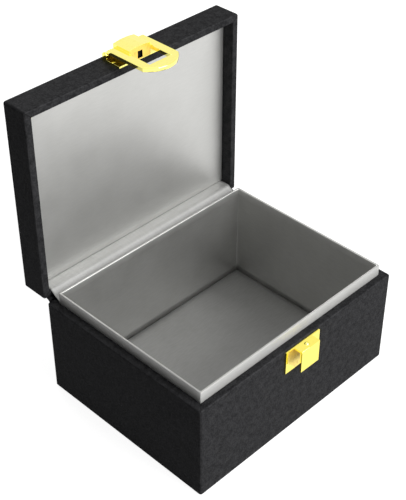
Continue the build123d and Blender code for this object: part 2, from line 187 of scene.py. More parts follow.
class ShaderSheet:
    """The node tree of a material or the world, with one method that adds any node."""

    def __init__(self, owner: bpy.types.Material | bpy.types.World) -> None:
        """Starts an empty tree.

        Args:
            owner: The material or world that the tree belongs to.
        """
        self.owner = owner
        owner.use_nodes = True
        self.tree = owner.node_tree
        self.tree.nodes.clear()

    @classmethod
    def named(cls, name: str) -> "ShaderSheet":
        """Starts a new material's tree."""
        return cls(bpy.data.materials.new(name))

    def node(
        self,
        kind: str,
        settings: dict[str, object] | None = None,
        inputs: dict[str | int, object] | None = None,
    ) -> bpy.types.Node:
        """Adds a node.

        Args:
            kind: The node's type.
            settings: Its settings, set first.
            inputs: Its sockets' values, signals or linked sockets, by name or number.

        Returns:
            The node.
        """
        made = self.tree.nodes.new(kind)
        for setting, value in (settings or {}).items():
            setattr(made, setting, value)
        for key, value in (inputs or {}).items():
            if isinstance(value, Signal):
                value = value.socket
            if isinstance(value, bpy.types.NodeSocket):
                self.tree.links.new(value, made.inputs[key])
            else:
                made.inputs[key].default_value = value
        return made

    def object_place(self) -> bpy.types.NodeSocket:
        """The object coordinates of a point, in metres."""
        return self.node("ShaderNodeTexCoord").outputs["Object"]

    def flat_place(self) -> bpy.types.NodeSocket:
        """The coordinates along a piece's own surface, in metres."""
        return self.node("ShaderNodeUVMap", {"uv_map": UV_NAME}).outputs["UV"]

    def split(self, place: bpy.types.NodeSocket) -> tuple[Signal, Signal, Signal]:
        """Parts coordinates into X, Y and Z."""
        parts = self.node("ShaderNodeSeparateXYZ", inputs={0: place})
        return tuple(Signal(self, parts.outputs[i]) for i in range(3))

    def axes(self) -> tuple[Signal, Signal, Signal]:
        """X, Y and Z of a point in object coordinates, in metres."""
        return self.split(self.object_place())

    def clouds(
        self,
        size: float,
        detail: float = 2.0,
        stretch: Place = (1.0, 1.0, 1.0),
        place: bpy.types.NodeSocket | None = None,
    ) -> Signal:
        """Soft noise about 0.5.

        Args:
            size: The size of its clouds in metres.
            detail: How many finer layers it has.
            stretch: How much closer the clouds lie along each axis.
            place: The coordinates that it lies in, or None for the object's own.

        Returns:
            The noise.
        """
        values = {"Vector": place or self.object_place(), "Scale": stretch}
        drawn = self.node("ShaderNodeMapping", inputs=values)
        made = self.node(
            "ShaderNodeTexNoise",
            inputs={"Vector": drawn.outputs[0], "Scale": 1.0 / size, "Detail": detail},
        )
        return Signal(self, made.outputs["Fac"])

    def pebbles(self, size: float) -> Signal:
        """Rounded cells, 0 at each cell's middle.

        Args:
            size: The size of a cell in metres.

        Returns:
            The distance from the cell's middle, in cells.
        """
        values = {"Vector": self.object_place(), "Scale": 1.0 / size, "Smoothness": 0.6}
        made = self.node("ShaderNodeTexVoronoi", {"feature": "SMOOTH_F1"}, values)
        return Signal(self, made.outputs["Distance"])

    def blend(self, share: object, first: object, second: object) -> bpy.types.NodeSocket:
        """Mixes two colours.

        Args:
            share: How much of the second colour, from 0 to 1.
            first: A colour or a colour socket.
            second: A colour or a colour socket.

        Returns:
            The mixed colour's socket.
        """
        ends = [(*c, 1.0) if isinstance(c, tuple) else c for c in (first, second)]
        made = self.node(
            "ShaderNodeMix",
            {"data_type": "RGBA"},
            {"Factor": share, "A": ends[0], "B": ends[1]},
        )
        return made.outputs["Result"]

    def relief(self, height: Signal, depth: float, strength: float) -> bpy.types.NodeSocket:
        """Turns a height into a normal.

        Args:
            height: The height, from 0 to 1.
            depth: What a height of 1 stands for, in metres.
            strength: How much of the relief shows.

        Returns:
            The normal's socket.
        """
        values = {"Height": height, "Distance": depth, "Strength": strength}
        return self.node("ShaderNodeBump", inputs=values).outputs[0]

    def surface(self, values: dict[str | int, object]) -> bpy.types.Material:
        """Ends the sheet in one shader.

        Args:
            values: The shader's sockets, by name.

        Returns:
            The finished material.
        """
        shader = self.node("ShaderNodeBsdfPrincipled", inputs=values)
        self.node("ShaderNodeOutputMaterial", inputs={"Surface": shader.outputs[0]})
        return self.owner


# -------------------- finishes
@dataclass(frozen=True)
class Leatherette:
    """Matt black grained leatherette on a box-shaped shell, its edges lightened by wear and a painted
    highlight.
    """

    name: str
    low: Vector
    high: Vector
    rim: RimSide
    deep: Colour = (0.0180, 0.0180, 0.0192)
    raised: Colour = (0.0475, 0.0475, 0.0498)
    # edge colour: partly wear, partly a painted highlight along the rounded edges
    rubbed_highlight: Colour = (0.095, 0.095, 0.099)
    pebble: float = 0.9 * MM
    mottle: float = 3.4 * MM
    edge_width: float = 0.7 * MM
    fold_width: float = 0.35 * MM
    fold_reach: float = 1.2 * MM
    fold_shade: float = 0.7
    wear_and_highlight: float = 0.6
    roughness: float = 0.56
    specular: float = 0.01
    relief_depth: float = 0.16 * MM
    relief_strength: float = 0.85

    def material(self) -> bpy.types.Material:
        """Builds the finish.

        Returns:
            The material.
        """
        sheet = ShaderSheet.named(self.name)
        middle = (self.low + self.high) / 2
        half = (self.high - self.low) / 2
        inward = [half[i] - abs(axis - middle[i]) for i, axis in enumerate(sheet.axes())]
        close = [1.0 - depth.rise(0.0, self.edge_width) for depth in inward]
        # the edge band that takes the wear and the painted highlight
        edges = (close[0] * close[1]).larger(close[1] * close[2]).larger(close[0] * close[2])
        fold = self._corner_folds(sheet, inward)
        grain = sheet.pebbles(self.pebble)
        pores = sheet.clouds(self.pebble / 3, 3.0)
        mottle = sheet.clouds(self.mottle, 4.0)
        tone = mottle.rise(0.32, 0.68) * 0.5 + grain.rise(0.75, 0.15) * 0.5
        body = sheet.blend(tone, self.deep, self.raised)
        # the edges lighten: wear and a painted highlight
        worn_and_highlit = sheet.blend(edges * mottle.rise(0.2, 0.6) * self.wear_and_highlight, body, self.rubbed_highlight)
        colour = sheet.blend(fold * self.fold_shade, worn_and_highlit, self.deep)
        height = (1.0 - grain) * 0.7 + pores * 0.3 + mottle * 0.5 - fold * 2.5
        return sheet.surface(
            {
                "Base Color": colour,
                "Roughness": self.roughness + (mottle - 0.5) * 0.25 - edges * 0.08,
                "Specular IOR Level": self.specular,
                "Normal": sheet.relief(height, self.relief_depth, self.relief_strength),
            }
        )

    def _corner_folds(self, sheet: ShaderSheet, inward: list[Signal]) -> Signal:
        """The thin mitred folds across the rim at its four corners.

        Args:
            sheet: The node sheet.
            inward: The depths inside the shell's box along X, Y and Z.

        Returns:
            1 in a fold, 0 elsewhere.
        """
        axis, end = self.rim.value
        across = [inward[i] for i in range(3) if i != axis]
        rim_place = (self.high if end > 0 else self.low)[axis]
        from_rim = abs(sheet.axes()[axis] - rim_place)
        diagonal = 1.0 - abs(across[0] - across[1]).rise(0.0, self.fold_width)
        return diagonal * (1.0 - from_rim.rise(self.fold_reach / 2, self.fold_reach))


@dataclass(frozen=True)
class ShieldCloth:
    """Silver-grey metallised cloth with a fine plain weave and a satin face."""

    name: str
    thread: float = 0.42 * MM
    dark: Colour = (0.475, 0.475, 0.46)
    light: Colour = (0.575, 0.575, 0.56)
    metal: float = 0.7
    roughness: float = 0.43
    grain: Place = (0.16, 1.0, 1.0)
    slub: float = 0.9 * MM
    cloud: float = 16 * MM
    relief_depth: float = 0.02 * MM
    relief_strength: float = 0.35

    def material(self) -> bpy.types.Material:
        """Builds the finish.

        Returns:
            The material.
        """
        sheet = ShaderSheet.named(self.name)
        surface = sheet.flat_place()
        along, across, _ = sheet.split(surface)
        turn = math.tau / (2 * self.thread)
        warp, weft = (along * turn).sine(), (across * turn).sine()
        weave = warp * weft * 0.5 + 0.5
        threads = sheet.clouds(self.slub, stretch=self.grain, place=surface)
        cloud = sheet.clouds(self.cloud, 3.0)
        tone = weave * 0.3 + threads.rise(0.25, 0.75) * 0.35 + cloud.rise(0.25, 0.75) * 0.35
        height = weave * 0.5 + threads * 0.5
        return sheet.surface(
            {
                "Base Color": sheet.blend(tone, self.dark, self.light),
                "Metallic": self._metal(sheet),
                "Roughness": self.roughness + (cloud - 0.5) * 0.06 + (1.0 - weave) * 0.04,
                "Normal": sheet.relief(height, self.relief_depth, self.relief_strength),
            }
        )

    def _metal(self, sheet: ShaderSheet) -> Signal | float:
        """How metallic the cloth looks; the same all over a plain piece."""
        return self.metal


@dataclass(frozen=True)
class FrameShieldCloth(ShieldCloth):
    """The cloth on the inner frame, pulled matt outside the frame and metal-bright inside."""

    outer_half: Vector = field(default_factory=lambda: Vector((65.3, 49.8)) * MM)
    outer_metal: float = 0.05
    line: float = 0.3 * MM

    def _metal(self, sheet: ShaderSheet) -> Signal:
        """How metallic the cloth looks, inside and outside the frame.

        Args:
            sheet: The node sheet.

        Returns:
            The share of metal.
        """
        x, y, _ = sheet.axes()
        outside = abs(x).rise(self.outer_half.x - self.line, self.outer_half.x).larger(
            abs(y).rise(self.outer_half.y - self.line, self.outer_half.y)
        )
        return self.metal - (self.metal - self.outer_metal) * outside


@dataclass(frozen=True)
class GiltBrass:
    """Polished gold plating over a die-cast latch."""

    name: str
    clean: Colour = (1.0, 0.92, 0.26)
    tarnish: Colour = (0.90, 0.68, 0.13)
    # tone of the satin painted reflection
    satin: Colour = (1.0, 0.61, 0.12)
    pitted: Colour = (0.60, 0.29, 0.04)
    pitting: float = 0.3
    dullness: float = 0.1
    # near-black of the painted shade in the catch pocket, also darkening the hasp's underside
    painted_black: Colour = (0.012, 0.010, 0.008)
    ripple: float = 2.2 * MM
    stain: float = 1.3 * MM
    pit: float = 0.9 * MM
    polish: float = 0.03
    specular: float = 0.05
    relief_depth: float = 0.008 * MM
    relief_strength: float = 0.3

    def material(self) -> bpy.types.Material:
        """Builds the finish.

        Returns:
            The material.
        """
        sheet = ShaderSheet.named(self.name)
        stain = sheet.clouds(self.stain, 4.0)
        wave = sheet.clouds(self.ripple, 1.0)
        pits = sheet.clouds(self.pit, 4.0, (1.0, 1.0, 0.4))
        plated = sheet.blend(stain.rise(0.5, 0.85) * 0.3, self.clean, self.tarnish)
        # the satin tone is painted reflection on the keeper's plate and on the hasp's block end
        cast = sheet.blend(pits.rise(0.5, 0.7) * self.pitting, self.satin, self.pitted)
        satin_and_reflection, painted_black = self._satin_and_painted_reflection(sheet), self._painted_shade_and_dark_underside(sheet)
        # near-black is painted shade in the hasp's catch pocket, and darkens the hasp's underside
        colour = sheet.blend(painted_black, sheet.blend(satin_and_reflection, plated, cast), self.painted_black)
        rough = self.polish + stain.rise(0.4, 0.8) * 0.04 + satin_and_reflection * 0.3 + painted_black * 0.55
        return sheet.surface(
            {
                "Base Color": colour,
                "Metallic": 1.0 - satin_and_reflection * self.dullness - painted_black,
                "Roughness": rough,
                "Specular IOR Level": self.specular,
                "Normal": sheet.relief(wave, self.relief_depth, self.relief_strength),
            }
        )

    def _satin_and_painted_reflection(self, sheet: ShaderSheet) -> Signal | float:
        """Where the surface is made satin, for painted reflection and for a darker underside; nowhere
        on a plain piece.
        """
        return 0.0

    def _painted_shade_and_dark_underside(self, sheet: ShaderSheet) -> Signal | float:
        """Where painted shade goes near-black, and where the underside is made darker; nowhere on a
        plain piece.
        """
        return 0.0


@dataclass(frozen=True)
class KeeperGilt(GiltBrass):
    """The keeper's plating, with a satin tan patch of painted reflection on the plate behind the
    bridge.
    """

    clean: Colour = (1.0, 0.87, 0.17)
    # tan tone of the painted reflection behind the bridge
    satin: Colour = (1.0, 0.80, 0.22)
    pitting: float = 0.45
    plate_face: float = -55.5 * MM
    lowest: float = 41.9 * MM
    highest: float = 55.3 * MM
    left_end: float = -11.2 * MM
    right_end: float = 6.5 * MM
    cut_from: float = -5.0 * MM
    cut_slope: float = 1.04
    line: float = 0.1 * MM

    def _satin_and_painted_reflection(self, sheet: ShaderSheet) -> Signal:
        """The painted reflection's patch on the plate, with its lower left corner cut off.

        Args:
            sheet: The node sheet.

        Returns:
            1 in the painted reflection, 0 elsewhere.
        """
        x, y, z = sheet.axes()
        on_plate = y.rise(self.plate_face - self.line, self.plate_face - self.line / 2)
        slanted = self.cut_slope * (self.cut_from - x).larger(0.0)
        cut = (z - self.lowest - slanted).rise(0.0, self.line)
        below_top = 1.0 - z.rise(self.highest, self.highest + self.line)
        sides = x.rise(self.left_end, self.left_end + self.line) * (
            1.0 - x.rise(self.right_end, self.right_end + self.line)
        )
        return on_plate * cut * below_top * sides


@dataclass(frozen=True)
class HaspGilt(GiltBrass):
    """The hasp's plating: painted reflection and shade on the block's end, darker underneath, painted
    shade in the catch pocket.
    """

    # orange tone of the painted reflection and shade on the block's end
    satin: Colour = (1.0, 0.69, 0.15)
    dullness: float = 0.35
    underside_darkening: float = 0.75
    underside: float = 170.74 * MM
    block_end: float = 55.56 * MM
    block_half: float = 6.8 * MM
    # the pocket is in millimetres
    pocket_low: Place = (-1.56, 55.5, 168.37)
    pocket_high: Place = (1.56, 56.72, 172.24)
    line: float = 0.04 * MM

    def _underneath(self, sheet: ShaderSheet) -> Signal:
        """1 below the flap's underside, 0 above it."""
        return 1.0 - sheet.axes()[2].rise(self.underside, self.underside + self.line)

    def _block_face(self, sheet: ShaderSheet) -> Signal:
        """The face of the block's end.

        Args:
            sheet: The node sheet.

        Returns:
            1 on the face, 0 elsewhere.
        """
        x, y, _ = sheet.axes()
        at_end = 1.0 - abs(y - self.block_end).rise(self.line, 2 * self.line)
        return at_end * (1.0 - abs(x).rise(self.block_half, self.block_half + self.line))

    def _satin_and_painted_reflection(self, sheet: ShaderSheet) -> Signal:
        """The underside, and the painted reflection and shade on the block's end; 1 where the surface
        is satin.
        """
        return self._underneath(sheet).larger(self._block_face(sheet))

    def _painted_shade_and_dark_underside(self, sheet: ShaderSheet) -> Signal:
        """The painted shade in the catch pocket, and the darker underside in part.

        Args:
            sheet: The node sheet.

        Returns:
            1 in the pocket, less underneath and 0 elsewhere.
        """
        inside = []
        for axis, low, high in zip(sheet.axes(), self.pocket_low, self.pocket_high):
            middle, half = (low + high) / 2 * MM, (high - low) / 2 * MM
            inside.append(1.0 - abs(axis - middle).rise(half, half + self.line / 2))
        underneath = self._underneath(sheet) * (1.0 - self._block_face(sheet))
        return (inside[0] * inside[1] * inside[2]).larger(underneath * self.underside_darkening)


@dataclass(frozen=True)
class Steel:
    """Plain wire and rivet steel."""

    name: str
    bright: Colour = (0.62, 0.61, 0.59)
    dull: Colour = (0.36, 0.35, 0.34)
    scratch: float = 0.3 * MM
    relief_depth: float = 0.01 * MM

    def material(self) -> bpy.types.Material:
        """Builds the finish.

        Returns:
            The material.
        """
        sheet = ShaderSheet.named(self.name)
        drawn = sheet.clouds(self.scratch, 3.0, (1.0, 1.0, 0.2))
        return sheet.surface(
            {
                "Base Color": sheet.blend(drawn, self.dull, self.bright),
                "Metallic": 1.0,
                "Roughness": 0.28 + drawn * 0.2,
                "Normal": sheet.relief(drawn, self.relief_depth, 0.3),
            }
        )


@dataclass(frozen=True)
class PressedFibre:
    """Board, card or paper: pressed fibre with flecks."""

    name: str
    ground: Colour
    fleck: Colour
    fibre: float = 0.8 * MM
    roughness: float = 0.85
    relief_depth: float = 0.05 * MM

    def material(self) -> bpy.types.Material:
        """Builds the finish.

        Returns:
            The material.
        """
        sheet = ShaderSheet.named(self.name)
        fibres = sheet.clouds(self.fibre, 5.0, (1.0, 0.35, 1.0))
        flecks = sheet.clouds(self.fibre * 2, 6.0).rise(0.58, 0.7)
        return sheet.surface(
            {
                "Base Color": sheet.blend(flecks * 0.6 + fibres * 0.3, self.ground, self.fleck),
                "Roughness": self.roughness - fibres * 0.1,
                "Normal": sheet.relief(fibres, self.relief_depth, 0.4),
            }
        )


@dataclass(frozen=True)
class OpenFoam:
    """Grey open-cell foam."""

    name: str
    wall: Colour = (0.34, 0.34, 0.35)
    hollow: Colour = (0.12, 0.12, 0.125)
    cell: float = 0.7 * MM
    relief_depth: float = 0.2 * MM

    def material(self) -> bpy.types.Material:
        """Builds the finish.

        Returns:
            The material.
        """
        sheet = ShaderSheet.named(self.name)
        cells = sheet.pebbles(self.cell).rise(0.15, 0.5)
        return sheet.surface(
            {
                "Base Color": sheet.blend(cells, self.hollow, self.wall),
                "Roughness": 0.95 - cells * 0.05,
                "Normal": sheet.relief(cells, self.relief_depth, 0.6),
            }
        )


# -------------------- mesh helpers
def lay_out(mesh_edit: bmesh.types.BMesh) -> None:
    """Gives every face flat coordinates in metres, seen along its main direction.

    Args:
        mesh_edit: The mesh to lay out.
    """
    layer = mesh_edit.loops.layers.uv.new(UV_NAME)
    for face in mesh_edit.faces:
        main = max(range(3), key=lambda i: abs(face.normal[i]))
        kept = [i for i in range(3) if i != main]
        for loop in face.loops:
            loop[layer].uv = (loop.vert.co[kept[0]], loop.vert.co[kept[1]])


def finish_piece(
    mesh_edit: bmesh.types.BMesh, name: str, material: bpy.types.Material
) -> bpy.types.Object:
    """Closes a mesh edit and makes its object at the origin.

    Args:
        mesh_edit: The mesh, already in place.
        name: The piece's name.
        material: Its finish.

    Returns:
        The new object, linked to the scene.
    """
    mesh_edit.normal_update()
    lay_out(mesh_edit)
    mesh = bpy.data.meshes.new(name)
    mesh_edit.to_mesh(mesh)
    mesh_edit.free()
    mesh.shade_smooth()
    mesh.materials.append(material)
    piece = bpy.data.objects.new(name, mesh)
    bpy.context.scene.collection.objects.link(piece)
    LOG.info("made %s: %d faces", name, len(mesh.polygons))
    return piece


def thicken(piece: bpy.types.Object, thickness: float, side: float) -> None:
    """Gives a sheet its thickness.

    Args:
        piece: The sheet.
        thickness: Its thickness in metres.
        side: -1 to grow behind its faces, 1 in front of them.
    """
    wall = piece.modifiers.new("thickness", "SOLIDIFY")
    wall.thickness = thickness
    wall.offset = side
    wall.use_rim = True


def new_vertices(result: dict[str, list]) -> list[bmesh.types.BMVert]:
    """The vertices that an extrusion made."""
    return [item for item in result["geom"] if isinstance(item, bmesh.types.BMVert)]


def new_edges(result: dict[str, list]) -> list[bmesh.types.BMEdge]:
    """The edges that an extrusion made at its far end.

    Args:
        result: What the extrusion gave back.

    Returns:
        The edges between its new vertices.
    """
    made = set(new_vertices(result))
    edges = [item for item in result["geom"] if isinstance(item, bmesh.types.BMEdge)]
    return [edge for edge in edges if set(edge.verts) <= made]


def face_towards(mesh_edit: bmesh.types.BMesh, way: Vector) -> None:
    """Turns an open sheet so that its faces look one way.

    Args:
        mesh_edit: The sheet.
        way: The direction that most of its faces should look in.
    """
    bmesh.ops.recalc_face_normals(mesh_edit, faces=mesh_edit.faces)
    if sum(face.normal.dot(way) * face.calc_area() for face in mesh_edit.faces) < 0:
        bmesh.ops.reverse_faces(mesh_edit, faces=mesh_edit.faces)


def boundary_of(mesh_edit: bmesh.types.BMesh) -> list[bmesh.types.BMEdge]:
    """The open edges of a mesh."""
    return [edge for edge in mesh_edit.edges if edge.is_boundary]


def draw_grid(columns: int, rows: int, width: float, depth: float) -> bmesh.types.BMesh:
    """A flat grid in the XY plane, about the origin, facing +Z.

    Args:
        columns: Its cells along X.
        rows: Its cells along Y.
        width: Its size along X.
        depth: Its size along Y.

    Returns:
        The mesh edit that holds it.
    """
    grid = bmesh.new()
    bmesh.ops.create_grid(grid, x_segments=columns, y_segments=rows, size=0.5)
    bmesh.ops.scale(grid, vec=(width, depth, 1.0), verts=grid.verts)
    return grid


def extend_rim(
    mesh_edit: bmesh.types.BMesh,
    rim: list[bmesh.types.BMEdge],
    half: tuple[float, float],
    start: float,
    profile: list[tuple[float, float]],
) -> None:
    """Extrudes a level rim ring by ring, outwards or inwards, up or down.

    Args:
        mesh_edit: The mesh, about the Z axis.
        rim: The rim's edges.
        half: Half the rim's width and depth.
        start: The rim's height.
        profile: How far each ring reaches beyond the rim, and its height.
    """
    reach_before, height_before = 0.0, start
    for reach, height in profile:
        result = bmesh.ops.extrude_edge_only(mesh_edit, edges=rim)
        moved = new_vertices(result)
        wide, deep = ((size + reach) / (size + reach_before) for size in half)
        bmesh.ops.scale(mesh_edit, vec=(wide, deep, 1.0), verts=moved)
        bmesh.ops.translate(mesh_edit, vec=(0.0, 0.0, height - height_before), verts=moved)
        rim = new_edges(result)
        reach_before, height_before = reach, height


def turn_down(grid: bmesh.types.BMesh, radius: float, drop: float, steps: int = 3) -> None:
    """Rolls a grid's open edge outwards and down, as cloth over the edge of a card.

    Args:
        grid: The grid, in the XY plane and about the origin.
        radius: The radius of the roll.
        drop: How far below the grid the edge ends.
        steps: The number of strips in the roll.
    """
    half = tuple(abs(min(v.co[i] for v in grid.verts)) for i in range(2))
    turns = [math.pi / 2 * (i + 1) / steps for i in range(steps)]
    profile = [(radius * math.sin(turn), radius * (math.cos(turn) - 1)) for turn in turns]
    extend_rim(grid, boundary_of(grid), half, 0.0, [*profile, (radius, -drop)])


def crown(grid: bmesh.types.BMesh, height: float, power: int = 4) -> None:
    """Raises a flat grid's middle, and leaves its edge where it is.

    Args:
        grid: The grid, in the XY plane and about the origin.
        height: How far its middle rises.
        power: How flat the middle is.
    """
    half_width = max(v.co.x for v in grid.verts)
    half_depth = max(v.co.y for v in grid.verts)
    for vertex in grid.verts:
        share = 1 - abs(vertex.co.x / half_width) ** power
        share *= 1 - abs(vertex.co.y / half_depth) ** power
        vertex.co.z += height * share


def ripple(mesh_edit: bmesh.types.BMesh, height: float, size: float, shift: Place) -> None:
    """Moves vertices a little along their normals by a steady noise.

    Args:
        mesh_edit: The mesh to move.
        height: The most that a vertex moves, outwards only.
        size: The size of the ripples.
        shift: Where in the noise this piece lies.
    """
    mesh_edit.normal_update()
    moves = []
    for vertex in mesh_edit.verts:
        place = vertex.co / size + Vector(shift)
        moves.append(vertex.normal * height * (0.5 + 0.5 * noise.noise(place)))
    for vertex, move in zip(mesh_edit.verts, moves):
        vertex.co += move


def stand_up(mesh_edit: bmesh.types.BMesh) -> None:
    """Turns a flat mesh upright, so that its face looks towards -Y."""
    stand = Matrix.Rotation(math.pi / 2, 4, "X")
    bmesh.ops.transform(mesh_edit, matrix=stand, verts=mesh_edit.verts)


def declare_cloth(
    piece: bpy.types.Object, node: str, body: Body,
) -> None:
    """Hides the node that a cloth stands for and hangs the cloth on the body that it rides on.

    Args:
        piece: The cloth.
        node: The node that it stands for.
        body: The body that it rides on.
    """
    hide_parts(node)
    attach(piece, body.value)


# -------------------- sub-assemblies
@dataclass
class FrameParts:
    """The carried-over nodes, and how they are dressed."""

    nodes: dict[str, bpy.types.Object]

    def dress(self, material: bpy.types.Material, *names: str) -> None:
        """Gives nodes one finish.

        Args:
            material: The finish.
            *names: The nodes.
        """
        for name in names:
            node = self.nodes[name]
            node.data.materials.clear()
            node.data.materials.append(material)
            LOG.info("dressed %s with %s", name, material.name)

    def dress_ending(self, material: bpy.types.Material, ending: str) -> None:
        """Gives every node whose name ends alike one finish."""
        self.dress(material, *[name for name in self.nodes if name.endswith(ending)])


@dataclass
class LeatherShells:
    """The leatherette on base and lid, and the leatherette spine that joins them."""

    parts: FrameParts
    spine_thickness: float = 0.5 * MM
    spine_bend: float = 3.08 * MM
    spine_columns: int = 68
    bend_steps: int = 10
    unworn: float = 5.0 * MM
    near: float = 0.1 * MM
    join: float = 0.01 * MM

    def build(self) -> None:
        """Dresses both shells and builds the spine."""
        base = Leatherette("leatherette_base", *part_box("base_wrap"), RimSide.TOP)
        lid = Leatherette("leatherette_lid", *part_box("lid_wrap"), RimSide.FRONT)
        self.parts.dress(base.material(), "base_wrap")
        self.parts.dress(lid.material(), "lid_wrap")
        self._spine()

    def _spine(self) -> None:
        """Builds the spine: up the base's back, round the hinge and along the lid."""
        low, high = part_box("hinge_spine")
        # a roomy box keeps the worn, painted-highlight edges and corner folds off the spine
        room = Vector((self.unworn,) * 3)
        leather = Leatherette("leatherette_spine", low - room, high + room, RimSide.TOP)
        back, bend = low.y, self.spine_bend
        leave = high.z - bend
        spine = draw_grid(self.spine_columns, 1, high.x - low.x, leave - low.z)
        bmesh.ops.transform(spine, matrix=Matrix.Rotation(-math.pi / 2, 4, "X"), verts=spine.verts)
        bmesh.ops.translate(spine, vec=(0.0, back, (low.z + leave) / 2), verts=spine.verts)
        top = [e for e in boundary_of(spine) if all(v.co.z > leave - self.near for v in e.verts)]
        hinge = (0.0, back + bend, leave)
        rolled = bmesh.ops.spin(
            spine, geom=top, cent=hinge, axis=(-1.0, 0.0, 0.0), angle=math.pi / 2,
            steps=self.bend_steps, use_duplicate=False,
        )
        last = [item for item in rolled["geom_last"] if isinstance(item, bmesh.types.BMEdge)]
        land = bmesh.ops.extrude_edge_only(spine, edges=last)
        reach = (0.0, high.y - back - bend, 0.0)
        bmesh.ops.translate(spine, vec=reach, verts=new_vertices(land))
        bmesh.ops.remove_doubles(spine, verts=spine.verts, dist=self.join)
        face_towards(spine, Vector((0.0, 1.0, -1.0)))
        piece = finish_piece(spine, "spine_leatherette", leather.material())
        thicken(piece, self.spine_thickness, 1.0)
        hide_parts("hinge_spine")
        length = leave - low.z + bend * math.pi / 2 + reach[1]
        start, end = (0.0, back, leave), (0.0, back + bend, high.z)
        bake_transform(piece)


@dataclass
class SnapLatch:
    """The gilt keeper, ball, lid plate, pin and hasp, with softly broken edges."""

    parts: FrameParts
    edge_break: float = 0.09 * MM
    edge_angle: float = math.radians(30)
    join: float = 0.001 * MM

    def build(self) -> None:
        """Dresses the latch's pieces and breaks their edges."""
        self.parts.dress(GiltBrass("gilt_plain").material(), "lid_plate", "hasp_pin", "detent_ball")
        self.parts.dress(KeeperGilt("gilt_keeper").material(), "keeper")
        self.parts.dress(HaspGilt("gilt_hasp").material(), "hasp")
        for name in ("keeper", "lid_plate", "hasp"):
            self._break_edges(self.parts.nodes[name])

    def _break_edges(self, node: bpy.types.Object) -> None:
        """Rounds a node's sharp edges with modifiers, and leaves its mesh alone.

        Args:
            node: The node.
        """
        weld = node.modifiers.new("joined", "WELD")
        weld.merge_threshold = self.join
        bevel = node.modifiers.new("broken_edges", "BEVEL")
        bevel.width = self.edge_break
        bevel.segments = 2
        bevel.harden_normals = True
        bevel.limit_method = "ANGLE"
        bevel.angle_limit = self.edge_angle


@dataclass
class CatchSpring:
    """The coil under the ball; in the real latch it shortens as the ball goes down."""

    coil: bpy.types.Object
    material: bpy.types.Material
    join: float = 0.001 * MM

    def build(self) -> None:
        """Takes the coil's shape over as a piece of its own."""
        coil = bmesh.new()
        coil.from_mesh(self.coil.data)
        bmesh.ops.transform(coil, matrix=self.coil.matrix_world, verts=coil.verts)
        bmesh.ops.remove_doubles(coil, verts=coil.verts, dist=self.join)
        bmesh.ops.recalc_face_normals(coil, faces=coil.faces)
        piece = finish_piece(coil, "catch_spring", self.material)
        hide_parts("detent_spring")
        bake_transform(piece)


